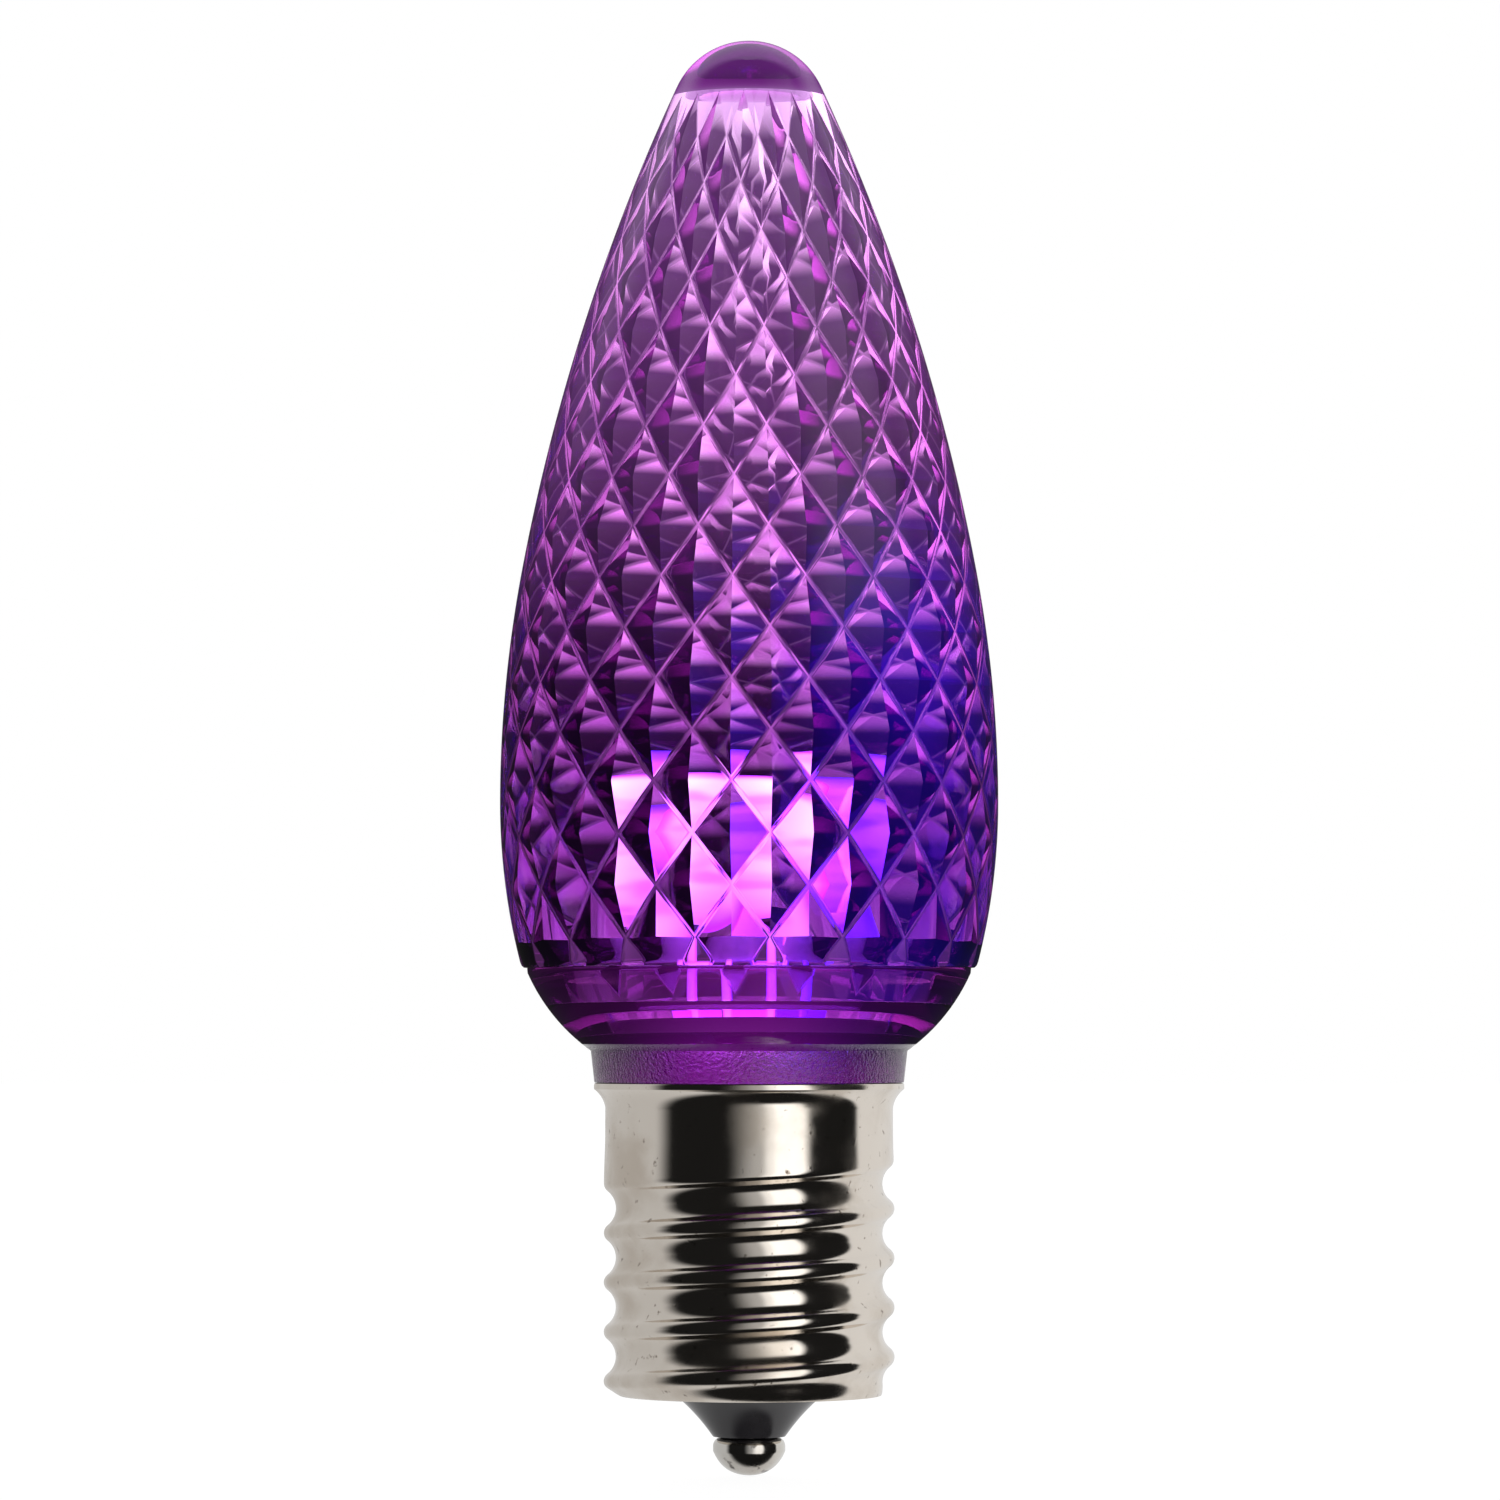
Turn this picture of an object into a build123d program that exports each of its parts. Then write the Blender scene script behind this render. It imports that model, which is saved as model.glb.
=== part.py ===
from build123d import *
import os
from math import asin, atan2, ceil, cos, degrees, radians, sin, sqrt

# A faceted screw-in light bulb. Sizes are in millimetres, in the bulb's own frame:
# Z runs up the axis and starts under the centre contact, and the front faces -Y.

# Heights up the axis: each stretch stands on the one below it
dome_height = 1.4
contact_edge = 0.8
cone_height = 2.35
first_valley_rise = 0.8
run_out = 0.251
skirt_length = 2.7
flare_height = 1.4
neck_length = 1.7
cup_height = 4.9
belly_height = 9.5
flank_height = 13.0

# Lens outline: arcs that run into each other from the seam to the nose
lens_radius = 14.3
belly_arc = 36.8
flank_arc = 72.3
shoulder_arc = 118.5
nose_arc = 4.6

# Facets on the inner wall: a diamond net of ridges, each diamond a pit with four flat sides
columns = 18
rows = 18
net_wall = 2.4
nose_wall = 3.44
net_drop = 1.1
net_turn = 5.5
facet_slope = 0.6

# Spigot of the lens, which stands in the collar
spigot_radius = 11.1
spigot_length = 1.8
spigot_wall = 1.8
mouth_depth = 1.0

# Collar: cup, frosted neck and plug
cup_wall = 1.7
collar_bulge = 0.45
neck_step = 0.02
plug_wall = 0.9
plug_rise = 0.2

# Screw shell of thin sheet: flange, plain skirt and rolled thread
sheet = 0.3
skirt_radius = 8.25
flange_width = 0.65
flange_lip = 0.35
flare_bulge = 0.12
crest_step = 0.07
thread_depth = 0.685
pitch = 2.822
crest_arc = 0.55
full_turns = 4.0
fade_turns = 0.5
rim_arc = 0.9
rim_roll = 0.72
floor_sheet = 0.45
section_points = 24
sections_per_pitch = 7
sections_per_roll = 3

# Insulator and centre contact
cone_radius = 4.2
cone_tip_edge = 0.08
disc_gap = 0.835
insulator_disc = 1.8
contact_radius = 2.07
dome_bulge = 0.42
shank_radius = 1.0
shank_rise = 0.4
shank_hole_depth = 2.5

# Board and the small lamps that stand over it on their legs
board_drop = 1.5
board_thickness = 1.0
board_edge = 0.1
led_ring = 3.3
led_stand = 4.0
led_radius = 1.45
led_flange_edge = 0.15
led_flange = 1.0
led_straight = 8.15
leg_spacing = 2.54
leg_radius = 0.25
leg_below = 1.0

# Rectifier under the board
rectifier_length = 4.0
rectifier_width = 2.2
rectifier_height = 2.0
rectifier_y = 1.65
terminal_length = 0.75
terminal_width = 0.5
terminal_thickness = 0.25
terminal_spacing = 1.1

# Series resistors and the two leads
resistor_inset = 2.4
resistor_drop = 11.5
resistor_radius = 1.1
resistor_length = 6.4
resistor_edge = 0.4
tail_length = 2.7
wire_radius = 0.3
insulation_radius = 0.55
bare_rise = 1.2
turn_back = 1.0
lead_swing = 2.6
trap_rise = 0.3
trap_end = 0.4
notch_side = 0.15
notch_roof = 0.4

# Clearances
fit_clearance = 0.05
touch_clearance = 0.01

# Heights that follow
contact_top_z = dome_height + contact_edge
rim_z = contact_top_z + cone_height
rim_top_z = rim_z + rim_roll
shell_floor_z = rim_z + floor_sheet
insulator_top_z = shell_floor_z + insulator_disc
shank_top_z = insulator_top_z + shank_rise
shank_hole_z = shank_top_z - shank_hole_depth
first_valley_z = rim_z + first_valley_rise
thread_top_z = first_valley_z + pitch * full_turns
skirt_foot_z = thread_top_z + pitch * fade_turns + run_out
skirt_top_z = skirt_foot_z + skirt_length
flange_z = skirt_top_z + flare_height
lip_z = flange_z - flange_lip
neck_z = flange_z + neck_length
seam_z = neck_z + cup_height
widest_z = seam_z + belly_height
flank_top_z = widest_z + flank_height
net_foot_z = seam_z - net_drop
spigot_z = seam_z - spigot_length
board_z = spigot_z - board_drop
board_top_z = board_z + board_thickness
led_foot_z = board_top_z + led_stand
resistor_z = board_z - resistor_drop
resistor_tail_z = resistor_z - tail_length
bare_end_z = shank_top_z + bare_rise
plug_z = skirt_foot_z + plug_rise
trap_z = plug_z + trap_rise
rise_z = trap_z - lead_swing
notch_top_z = flange_z - notch_roof
trap_top_z = notch_top_z - trap_end

# Radii that follow
mouth_radius = spigot_radius - spigot_wall
collar_radius = spigot_radius + cup_wall
board_radius = mouth_radius - board_edge
flange_radius = skirt_radius + flange_width
neck_radius = flange_radius - neck_step
crest_radius = skirt_radius + crest_step
shell_bore = skirt_radius - sheet
plug_radius = shell_bore - fit_clearance
plug_bore = plug_radius - plug_wall
cone_tip_radius = contact_radius + cone_tip_edge
insulator_disc_radius = crest_radius - thread_depth - sheet - disc_gap
led_flange_radius = led_radius + led_flange_edge
resistor_x = plug_bore - resistor_inset
trap_x = shell_bore - wire_radius - touch_clearance

# Angles, arcs and steps that follow
flank_angle = asin(flank_height / flank_arc)
shoulder_x = lens_radius - flank_arc + (flank_arc - shoulder_arc) * cos(flank_angle)
shoulder_z = widest_z + (flank_arc - shoulder_arc) * sin(flank_angle)
nose_z = shoulder_z + sqrt((shoulder_arc - nose_arc) ** 2 - shoulder_x**2)
nose_angle = atan2(nose_z - shoulder_z, -shoulder_x)
belly_angle = asin(belly_height / belly_arc)
half_row = (nose_z + nose_arc - nose_wall - net_foot_z) / rows
column_turn = 360 / columns
half_turn = radians(column_turn / 2)
arc_rise = 2 * atan2(thread_depth, pitch / 2)
valley_arc = pitch / 2 / sin(arc_rise) - crest_arc


def outer_radius(z):
    """Radius of the lens outline at a height below the nose."""
    if z < widest_z:
        return lens_radius - belly_arc + sqrt(belly_arc**2 - (z - widest_z) ** 2)
    if z < flank_top_z:
        return lens_radius - flank_arc + sqrt(flank_arc**2 - (z - widest_z) ** 2)
    return shoulder_x + sqrt(shoulder_arc**2 - (z - shoulder_z) ** 2)


def inner_radius(z):
    """Radius of the net at a height. The wall is thickest at the widest height and thins with the radius."""
    return outer_radius(z) * (1 - net_wall / lens_radius)


def ring_height(ring):
    """Height of a ring of net nodes."""
    return net_foot_z + half_row * ring


def ring_radius(ring):
    """Radius of a ring of net nodes. The lowest ring closes in to the mouth."""
    return mouth_radius if ring == 0 else inner_radius(ring_height(ring))


def at(radius, angle, z):
    """Point at a radius, an angle about the axis in degrees and a height."""
    return Vector(radius * cos(radians(angle)), radius * sin(radians(angle)), z)


def node(ring, column):
    """Net node. Every second ring is turned by half a column."""
    return at(ring_radius(ring), (column + ring % 2 / 2) * column_turn + net_turn, ring_height(ring))


def pit(ring, column):
    """Deepest point of the pit between two neighbouring nodes of a ring."""
    across = ring_radius(ring) * cos(half_turn)
    along = (ring_radius(ring - 1) + ring_radius(ring + 1)) / 2
    depth = facet_slope * ring_radius(ring) * sin(half_turn)
    angle = (column + 0.5 + ring % 2 / 2) * column_turn + net_turn
    return at((across + along) / 2 + depth, angle, ring_height(ring))


def facet(*corners):
    """Flat face between corner points."""
    return Face(Wire.make_polygon(corners))


def groove(offset):
    """Depth of the rolled thread at a distance from the middle of its valley: two joined arcs."""
    away = abs(offset)
    if away < valley_arc * sin(arc_rise):
        return thread_depth - valley_arc + sqrt(valley_arc**2 - away**2)
    return crest_arc - sqrt(crest_arc**2 - (pitch / 2 - away) ** 2)


def ease(value):
    """Smooth step from 0 to 1."""
    held = min(max(value, 0), 1)
    return held * held * (3 - 2 * held)


def thread_radius(turn, z):
    """Outer radius of the shell at a part of a turn and a height. The groove fades out under the skirt."""
    lap = round((z - first_valley_z) / pitch - turn)
    travel = lap + turn
    fade = ease((full_turns + fade_turns - travel) / fade_turns)
    depth = fade * groove(z - first_valley_z - pitch * travel)
    settle = ease((z - thread_top_z) / pitch) * (crest_radius - skirt_radius)
    return crest_radius - settle - depth


def rim_drop(z):
    """How far the rolled rim draws the shell in at a height."""
    below = max(rim_top_z - z, 0)
    return rim_arc - sqrt(rim_arc**2 - below**2)


def thread_section(z, inset):
    """Points of the shell's cross-section at a height, set in by a distance."""
    turns = [count / section_points for count in range(section_points)]
    return [at(thread_radius(turn, z) - inset, 360 * turn, 0) for turn in turns]


def thread_heights(start_z, end_z, step):
    """Evenly spaced heights from a start up to an end, which is left out."""
    count = ceil((end_z - start_z) / step)
    return [start_z + (end_z - start_z) * number / count for number in range(count)]


os.makedirs("parts", exist_ok=True)

# Hollow of the lens: four flat facets a pit, plain triangles at both ends of the net
hollow = []
for ring in range(1, rows):
    for column in range(columns):
        side = column + ring % 2
        corners = [node(ring, column), node(ring + 1, side), node(ring, column + 1), node(ring - 1, side)]
        for first, second in zip(corners, corners[1:] + corners[:1]):
            hollow.append(facet(pit(ring, column), first, second))
for column in range(columns):
    hollow.append(facet(node(0, column), node(0, column + 1), node(1, column)))
    hollow.append(facet(node(rows, column), node(rows, column + 1), node(rows - 1, column)))
mouth_z = spigot_z - mouth_depth
mouth = [at(mouth_radius, column * column_turn + net_turn, mouth_z) for column in range(columns)]
for column in range(columns):
    following = (column + 1) % columns
    hollow.append(facet(node(0, column), node(0, column + 1), mouth[following], mouth[column]))
hollow.append(facet(*[node(rows, column) for column in range(columns)]))
hollow.append(facet(*mouth))
lens_hollow = Solid(Shell(hollow))

# Lens: smooth outside, faceted inside, with a spigot below the seam
with BuildPart() as faceted_lens:
    with BuildSketch(Plane.XZ):
        with BuildLine():
            nose = CenterArc((0, nose_z), nose_arc, 90, degrees(nose_angle) - 90)
            shoulder = CenterArc(
                (shoulder_x, shoulder_z),
                shoulder_arc,
                degrees(nose_angle),
                degrees(flank_angle - nose_angle),
            )
            flank_centre = (lens_radius - flank_arc, widest_z)
            flank = CenterArc(flank_centre, flank_arc, degrees(flank_angle), -degrees(flank_angle))
            belly_centre = (lens_radius - belly_arc, widest_z)
            belly = CenterArc(belly_centre, belly_arc, 0, -degrees(belly_angle))
            Polyline(
                belly @ 1,
                (spigot_radius, seam_z),
                (spigot_radius, spigot_z),
                (0, spigot_z),
                nose @ 0,
            )
        make_face()
    revolve(axis=Axis.Z)
    add(lens_hollow, mode=Mode.SUBTRACT)
faceted_lens.part.label = "faceted_lens"
export_step(faceted_lens.part, "parts/faceted_lens.step")

# Collar: cup that takes the spigot and the board, neck, and plug with a notch for the trapped lead
with BuildPart() as lens_collar:
    with BuildSketch(Plane.XZ):
        with BuildLine():
            cup = SagittaArc((collar_radius, seam_z), (neck_radius, neck_z), collar_bulge)
            Polyline(
                cup @ 1,
                (neck_radius, flange_z),
                (plug_radius, flange_z),
                (plug_radius, plug_z),
                (plug_bore, plug_z),
                (plug_bore, board_z),
                (board_radius + fit_clearance, board_z),
                (board_radius + fit_clearance, spigot_z),
                (spigot_radius + fit_clearance, spigot_z),
                (spigot_radius + fit_clearance, seam_z),
                cup @ 0,
            )
        make_face()
    revolve(axis=Axis.Z)
    with BuildSketch(Plane.XY.offset(plug_z)):
        with Locations((-(plug_bore + plug_radius) / 2, 0)):
            Rectangle(2 * plug_wall, 2 * (wire_radius + notch_side))
    extrude(amount=notch_top_z - plug_z, mode=Mode.SUBTRACT)
lens_collar.part.label = "lens_collar"
export_step(lens_collar.part, "parts/lens_collar.step")

# Inside of the screw shell: the sheet's inner face follows the rolled thread up to the plain skirt
with BuildPart() as shell_inside:
    for z in thread_heights(shell_floor_z, skirt_foot_z, pitch / sections_per_pitch):
        with BuildSketch(Plane.XY.offset(z)):
            with BuildLine():
                Spline(*thread_section(z, sheet), periodic=True)
            make_face()
    with BuildSketch(Plane.XY.offset(skirt_foot_z)):
        Circle(shell_bore)
    loft(ruled=True)

# Screw shell: rolled rim, thread, plain skirt and flared flange, with an opening in the floor
rim_heights = thread_heights(rim_z, rim_top_z, rim_roll / sections_per_roll)
with BuildPart() as screw_shell:
    for z in rim_heights + thread_heights(rim_top_z, skirt_foot_z, pitch / sections_per_pitch):
        with BuildSketch(Plane.XY.offset(z)):
            with BuildLine():
                Spline(*thread_section(z, rim_drop(z)), periodic=True)
            make_face()
    with BuildSketch(Plane.XY.offset(skirt_foot_z)):
        Circle(skirt_radius)
    loft(ruled=True)
    add(shell_inside.part, mode=Mode.SUBTRACT)
    with BuildSketch(Plane.XZ):
        with BuildLine():
            flare = SagittaArc((skirt_radius, skirt_top_z), (flange_radius, lip_z), flare_bulge)
            Polyline(
                flare @ 1,
                (flange_radius, flange_z),
                (shell_bore, flange_z),
                (shell_bore, skirt_foot_z),
                (skirt_radius, skirt_foot_z),
                flare @ 0,
            )
        make_face()
    revolve(axis=Axis.Z)
    with BuildSketch(Plane.XY.offset(rim_z)):
        Circle(cone_radius + fit_clearance)
    extrude(amount=floor_sheet, mode=Mode.SUBTRACT)
screw_shell.part.label = "screw_shell"
export_step(screw_shell.part, "parts/screw_shell.step")

# Insulator: cone below the shell, neck in its opening and disc on its floor
with BuildPart() as base_insulator:
    with BuildSketch(Plane.XZ):
        with BuildLine():
            Polyline(
                (shank_radius + fit_clearance, contact_top_z),
                (cone_tip_radius, contact_top_z),
                (cone_radius, rim_z),
                (cone_radius, shell_floor_z),
                (insulator_disc_radius, shell_floor_z),
                (insulator_disc_radius, insulator_top_z),
                (shank_radius + fit_clearance, insulator_top_z),
                close=True,
            )
        make_face()
    revolve(axis=Axis.Z)
base_insulator.part.label = "base_insulator"
export_step(base_insulator.part, "parts/base_insulator.step")

# Centre contact: dome and hollow-ended shank
with BuildPart() as centre_contact:
    with BuildSketch(Plane.XZ):
        with BuildLine():
            dome = SagittaArc((0, 0), (contact_radius, dome_height), -dome_bulge)
            Polyline(
                dome @ 1,
                (contact_radius, contact_top_z),
                (shank_radius, contact_top_z),
                (shank_radius, shank_top_z),
                (wire_radius + fit_clearance, shank_top_z),
                (wire_radius + fit_clearance, shank_hole_z),
                (0, shank_hole_z),
                dome @ 0,
            )
        make_face()
    revolve(axis=Axis.Z)
centre_contact.part.label = "centre_contact"
export_step(centre_contact.part, "parts/centre_contact.step")

# Board with a hole for every leg and tail
led_spots = [(0, 0), (led_ring, 0), (0, led_ring), (-led_ring, 0), (0, -led_ring)]
leg_spots = []
for spot_x, spot_y in led_spots:
    across = leg_spacing / 2 if spot_x == 0 else 0
    aside = leg_spacing / 2 if spot_x != 0 else 0
    leg_spots.append([(spot_x - across, spot_y - aside), (spot_x + across, spot_y + aside)])

with BuildPart() as led_board:
    with BuildSketch(Plane.XY.offset(board_z)):
        Circle(board_radius)
        for legs in leg_spots:
            with Locations(*legs):
                Circle(leg_radius + fit_clearance, mode=Mode.SUBTRACT)
        with Locations((-resistor_x, 0), (resistor_x, 0)):
            Circle(wire_radius + fit_clearance, mode=Mode.SUBTRACT)
    extrude(amount=board_thickness)
led_board.part.label = "led_board"
export_step(led_board.part, "parts/led_board.step")

# Small lamps: flange, straight body and dome on two long legs
for count, (spot, legs) in enumerate(zip(led_spots, leg_spots), 1):
    with BuildPart() as led:
        with BuildSketch(Plane.XZ):
            with BuildLine():
                dome = CenterArc((0, led_foot_z + led_straight), led_radius, 90, -90)
                Polyline(
                    dome @ 1,
                    (led_radius, led_foot_z + led_flange),
                    (led_flange_radius, led_foot_z + led_flange),
                    (led_flange_radius, led_foot_z),
                    (0, led_foot_z),
                    dome @ 0,
                )
            make_face()
        revolve(axis=Axis.Z)
        with BuildSketch(Plane.XY.offset(board_z - leg_below)):
            with Locations(*[(leg_x - spot[0], leg_y - spot[1]) for leg_x, leg_y in legs]):
                Circle(leg_radius)
        extrude(amount=leg_below + board_thickness + led_stand + led_flange / 2)
    lamp = led.part.moved(Location((spot[0], spot[1], 0)))
    lamp.label = f"led_{count}"
    export_step(lamp, f"parts/led_{count}.step")

# Rectifier: moulded body with four flat terminals on the board's underside
with BuildPart() as bridge_rectifier:
    with BuildSketch(Plane.XY.offset(board_z - terminal_thickness / 2)):
        with Locations((0, rectifier_y)):
            Rectangle(rectifier_length, rectifier_width)
    extrude(amount=-rectifier_height)
    with BuildSketch(Plane.XY.offset(board_z)):
        with Locations((0, rectifier_y)):
            with GridLocations(0, terminal_spacing, 1, 2):
                Rectangle(rectifier_length + 2 * terminal_length, terminal_width)
    extrude(amount=-terminal_thickness)
bridge_rectifier.part.label = "bridge_rectifier"
export_step(bridge_rectifier.part, "parts/bridge_rectifier.step")

# Series resistors: round body with a tail at each end
for name, side in (("live_resistor", 1), ("neutral_resistor", -1)):
    with BuildPart() as resistor:
        with BuildSketch(Plane.XY.offset(resistor_z)):
            Circle(resistor_radius)
        extrude(amount=resistor_length)
        fillet(resistor.edges().filter_by(GeomType.CIRCLE), resistor_edge)
        with BuildSketch(Plane.XY.offset(resistor_tail_z)):
            Circle(wire_radius)
        extrude(amount=board_z + board_thickness / 2 - resistor_tail_z)
    placed = resistor.part.moved(Location((side * resistor_x, 0, 0)))
    placed.label = name
    export_step(placed, f"parts/{name}.step")

# Live lead: covered wire from its resistor to the contact, with a bare end in the shank
with BuildPart() as live_lead:
    with BuildLine(Plane.XZ) as live_path:
        Spline((resistor_x, resistor_tail_z), (0, bare_end_z), tangents=((0, -1), (0, -1)))
    with BuildSketch(Plane(origin=live_path.line @ 0, z_dir=live_path.line % 0)):
        Circle(insulation_radius)
    sweep()
    with BuildSketch(Plane.XY.offset(shank_hole_z)):
        Circle(wire_radius)
    extrude(amount=bare_end_z - shank_hole_z)
live_lead.part.label = "live_lead"
export_step(live_lead.part, "parts/live_lead.step")

# Neutral lead: bare wire that turns up from its resistor and lies between the plug and the shell
with BuildPart() as neutral_lead:
    with BuildLine(Plane.XZ) as neutral_path:
        bend_x = resistor_x + turn_back
        bend = CenterArc((-bend_x, resistor_tail_z), turn_back, 0, -180)
        climb = Line(bend @ 1, (-bend_x - turn_back, rise_z))
        over = Spline(climb @ 1, (-trap_x, trap_z), tangents=((0, 1), (0, 1)))
        Line(over @ 1, (-trap_x, trap_top_z))
    with BuildSketch(Plane(origin=neutral_path.line @ 0, z_dir=neutral_path.line % 0)):
        Circle(wire_radius)
    sweep()
neutral_lead.part.label = "neutral_lead"
export_step(neutral_lead.part, "parts/neutral_lead.step")
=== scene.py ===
import logging
import math
from dataclasses import dataclass
from enum import Enum

import bmesh
import bpy
import numpy as np
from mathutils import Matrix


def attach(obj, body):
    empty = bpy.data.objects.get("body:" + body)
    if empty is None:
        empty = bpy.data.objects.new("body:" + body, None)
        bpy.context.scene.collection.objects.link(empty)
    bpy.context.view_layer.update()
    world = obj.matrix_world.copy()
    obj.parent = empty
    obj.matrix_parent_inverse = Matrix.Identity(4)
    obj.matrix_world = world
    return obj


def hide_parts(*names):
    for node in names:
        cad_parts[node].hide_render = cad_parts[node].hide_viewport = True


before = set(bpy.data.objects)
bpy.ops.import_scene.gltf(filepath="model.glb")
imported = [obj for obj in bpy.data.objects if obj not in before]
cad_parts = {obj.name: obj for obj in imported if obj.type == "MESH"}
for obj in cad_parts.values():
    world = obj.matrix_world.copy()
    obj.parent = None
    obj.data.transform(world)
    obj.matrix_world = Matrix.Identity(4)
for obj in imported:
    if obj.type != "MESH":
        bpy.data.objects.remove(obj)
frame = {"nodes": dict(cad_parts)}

LOG = logging.getLogger("bulb")
MM = 0.001
BODY = "root"
MERGE_DISTANCE = 0.002
SLIVER_LENGTH = 0.001
SHARP_ANGLE = 40.0
RIDGE = "ridge"
MIX_NUMBERS = (2, 3)
MIX_COLOURS = (6, 7)

Colour = tuple[float, float, float]
Span = tuple[float, float]
Socket = bpy.types.NodeSocket
Sockets = bpy.types.bpy_prop_collection
Piece = bpy.types.Object
Material = bpy.types.Material


class Slot(Enum):
    """Material slots of the record."""

    LENS = "violet_lens"
    COLLAR = "violet_frosted"
    NICKEL = "nickel"
    INSULATOR = "black_insulator"
    SOLDER = "solder"


class Ray(Enum):
    """Kinds of ray that meet surroundings of their own."""

    CAMERA = "Is Camera Ray"
    BENT = "Is Transmission Ray"
    SHEEN = "Is Singular Ray"


@dataclass
class Surface:
    """Points in millimetres and the faces between them.

    Each entry of faces is an index array with one row a face, and each entry of flat says whether
    those faces keep a flat look instead of a smooth one. The ridge value of a point is 1 on top of a
    ridge and 0 away from it.
    """

    points: np.ndarray
    faces: list[np.ndarray]
    flat: list[bool]
    ridge: np.ndarray | None = None

    def __post_init__(self) -> None:
        """Takes every point as away from a ridge unless told otherwise."""
        if self.ridge is None:
            self.ridge = np.zeros(len(self.points))

    def joined(self, other: "Surface") -> "Surface":
        """Both surfaces as one, with the other's face numbers moved on."""
        moved = [faces + len(self.points) for faces in other.faces]
        points = np.vstack([self.points, other.points])
        ridge = np.concatenate([self.ridge, other.ridge])
        return Surface(points, self.faces + moved, self.flat + other.flat, ridge)


def arc(centre: Span, radius: float, start: float, end: float, count: int) -> np.ndarray:
    """Points along an arc: the centre plus the radius times cosine and sine of evenly spaced angles.

    Args:
        centre: Centre as radius and height.
        radius: Radius of the arc.
        start: First angle in radians.
        end: Last angle in radians.
        count: Number of points.

    Returns:
        Array of radius and height, one row a point.
    """
    angles = np.linspace(start, end, count)
    return np.column_stack([centre[0] + radius * np.cos(angles), centre[1] + radius * np.sin(angles)])


def bow(start: Span, end: Span, bulge: float, count: int) -> np.ndarray:
    """Curve between two points that bulges to the left of its way: the chord plus a parabola.

    Args:
        start: First point as radius and height.
        end: Last point as radius and height.
        bulge: Height of the parabola at the middle of the chord.
        count: Number of points.

    Returns:
        Array of radius and height, one row a point.
    """
    share = np.linspace(0, 1, count)[:, None]
    chord = np.array(end) - np.array(start)
    left = np.array([-chord[1], chord[0]]) / np.hypot(*chord)
    return np.array(start) + share * chord + 4 * bulge * share * (1 - share) * left


def rounded(corners: list[Span], radius: float, steps: int) -> np.ndarray:
    """Closed outline with each corner eased by a quadratic curve from one side to the next.

    Args:
        corners: Corner points as radius and height, in order.
        radius: How far from the corner the easing starts, at most a third of either side.
        steps: Number of spans in each eased corner.

    Returns:
        Array of radius and height, with one more row than steps for each corner.
    """
    middle = np.array(corners, float)
    before = np.roll(middle, 1, axis=0) - middle
    after = np.roll(middle, -1, axis=0) - middle
    reach_before = np.minimum(radius, np.hypot(*before.T) / 3)[:, None]
    reach_after = np.minimum(radius, np.hypot(*after.T) / 3)[:, None]
    first = middle + before / np.hypot(*before.T)[:, None] * reach_before
    last = middle + after / np.hypot(*after.T)[:, None] * reach_after
    share = np.linspace(0, 1, steps + 1)[None, :, None]
    bend = 2 * share * (1 - share) * middle[:, None]
    eased = (1 - share) ** 2 * first[:, None] + bend + share**2 * last[:, None]
    return eased.reshape(-1, 2)


def grid_faces(rows: int, columns: int, closed: bool) -> np.ndarray:
    """Four-sided faces of a grid whose columns run round, with its points numbered row by row.

    Args:
        rows: Number of rows of points.
        columns: Number of points in a row, which meets its own start.
        closed: Whether the last row also meets the first.

    Returns:
        Index array with four numbers a face.
    """
    row = np.arange(rows if closed else rows - 1)[:, None]
    column = np.arange(columns)[None, :]
    beside = (column + 1) % columns
    start = row * columns
    end = (row + 1) % rows * columns
    corners = [start + column, start + beside, end + beside, end + column]
    return np.stack(corners, axis=-1).reshape(-1, 4)


def turned(radii: np.ndarray, heights: np.ndarray, columns: int) -> np.ndarray:
    """Points of a round surface: radius times cosine and sine of the turn, and the height.

    Args:
        radii: Radius of each row, or of each point of each row.
        heights: Height of each row.
        columns: Number of points in a row.

    Returns:
        Array of points, row by row.
    """
    turn = np.linspace(0, 2 * math.pi, columns, endpoint=False)[None, :]
    spread = np.broadcast_to(radii if radii.ndim == 2 else radii[:, None], (len(heights), columns))
    rise = np.broadcast_to(heights[:, None], spread.shape)
    return np.stack([spread * np.cos(turn), spread * np.sin(turn), rise], axis=-1).reshape(-1, 3)


def lathe(profile: np.ndarray, columns: int, closed: bool) -> Surface:
    """Surface of revolution of a profile. A first or last point on the axis shrinks to a pole.

    Args:
        profile: Radius and height of each profile point.
        columns: Number of points round the axis.
        closed: Whether the profile's end meets its start.

    Returns:
        The surface.
    """
    points = turned(profile[:, 0], profile[:, 1], columns)
    return Surface(points, [grid_faces(len(profile), columns, closed)], [False])


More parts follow.
